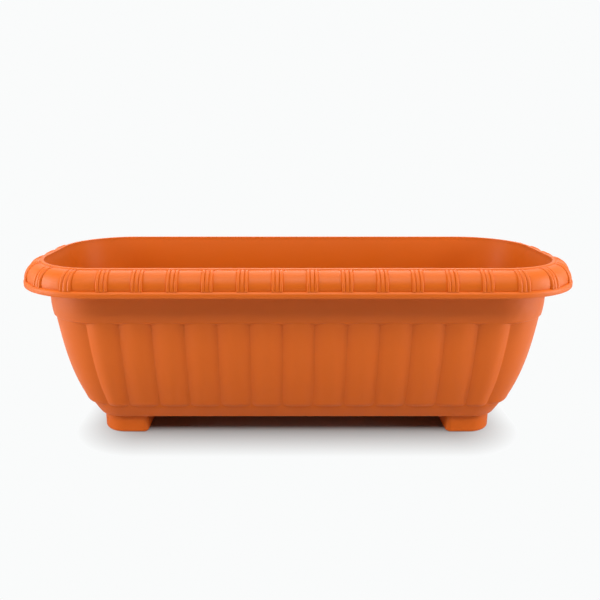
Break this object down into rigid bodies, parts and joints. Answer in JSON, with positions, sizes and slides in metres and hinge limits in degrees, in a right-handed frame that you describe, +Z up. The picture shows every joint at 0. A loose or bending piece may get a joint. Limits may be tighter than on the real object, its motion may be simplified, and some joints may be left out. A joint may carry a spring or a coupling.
{
  "type": "window box planter",
  "caption": "Long moulded plastic planter trough with a rolled ribbed rim, reeded bowed walls, corner feet, a lift-out drainage grid and pull-out drain plugs.",
  "frame": {"origin": "on the standing surface, under the middle of the box", "axes": "+X along the box, +Y to the back, +Z up"},
  "size_m": [0.6, 0.244, 0.2035],
  "materials": {
    "trough_plastic": "satin moulded polypropylene, terracotta orange",
    "foot_plastic": "satin moulded polypropylene, terracotta orange",
    "grid_plastic": "fine-grained moulded polypropylene, near black",
    "plug_plastic": "soft satin polyethylene, terracotta orange"
  },
  "bodies": {
    "planter": {"trough": "trough_plastic", "foot_front_left": "foot_plastic", "foot_front_right": "foot_plastic", "foot_rear_right": "foot_plastic", "foot_rear_left": "foot_plastic"},
    "plug_far_left": {"drain_plug_far_left": "plug_plastic"},
    "plug_left": {"drain_plug_left": "plug_plastic"},
    "plug_right": {"drain_plug_right": "plug_plastic"},
    "plug_far_right": {"drain_plug_far_right": "plug_plastic"},
    "grid_left": {"drain_grid_left": "grid_plastic"},
    "grid_right": {"drain_grid_right": "grid_plastic"}
  },
  "joints": [
    {"name": "plug_far_left_pull", "type": "slide", "parent": "planter", "child": "plug_far_left", "axis": [0, 0, -1], "range_m": [0, 0.016]},
    {"name": "plug_left_pull", "type": "slide", "parent": "planter", "child": "plug_left", "axis": [0, 0, -1], "range_m": [0, 0.016]},
    {"name": "plug_right_pull", "type": "slide", "parent": "planter", "child": "plug_right", "axis": [0, 0, -1], "range_m": [0, 0.016]},
    {"name": "plug_far_right_pull", "type": "slide", "parent": "planter", "child": "plug_far_right", "axis": [0, 0, -1], "range_m": [0, 0.016]},
    {"name": "grid_left_lift", "type": "slide", "parent": "planter", "child": "grid_left", "axis": [0, 0, 1], "range_m": [0, 0.185]},
    {"name": "grid_right_lift", "type": "slide", "parent": "planter", "child": "grid_right", "axis": [0, 0, 1], "range_m": [0, 0.185]}
  ]
}
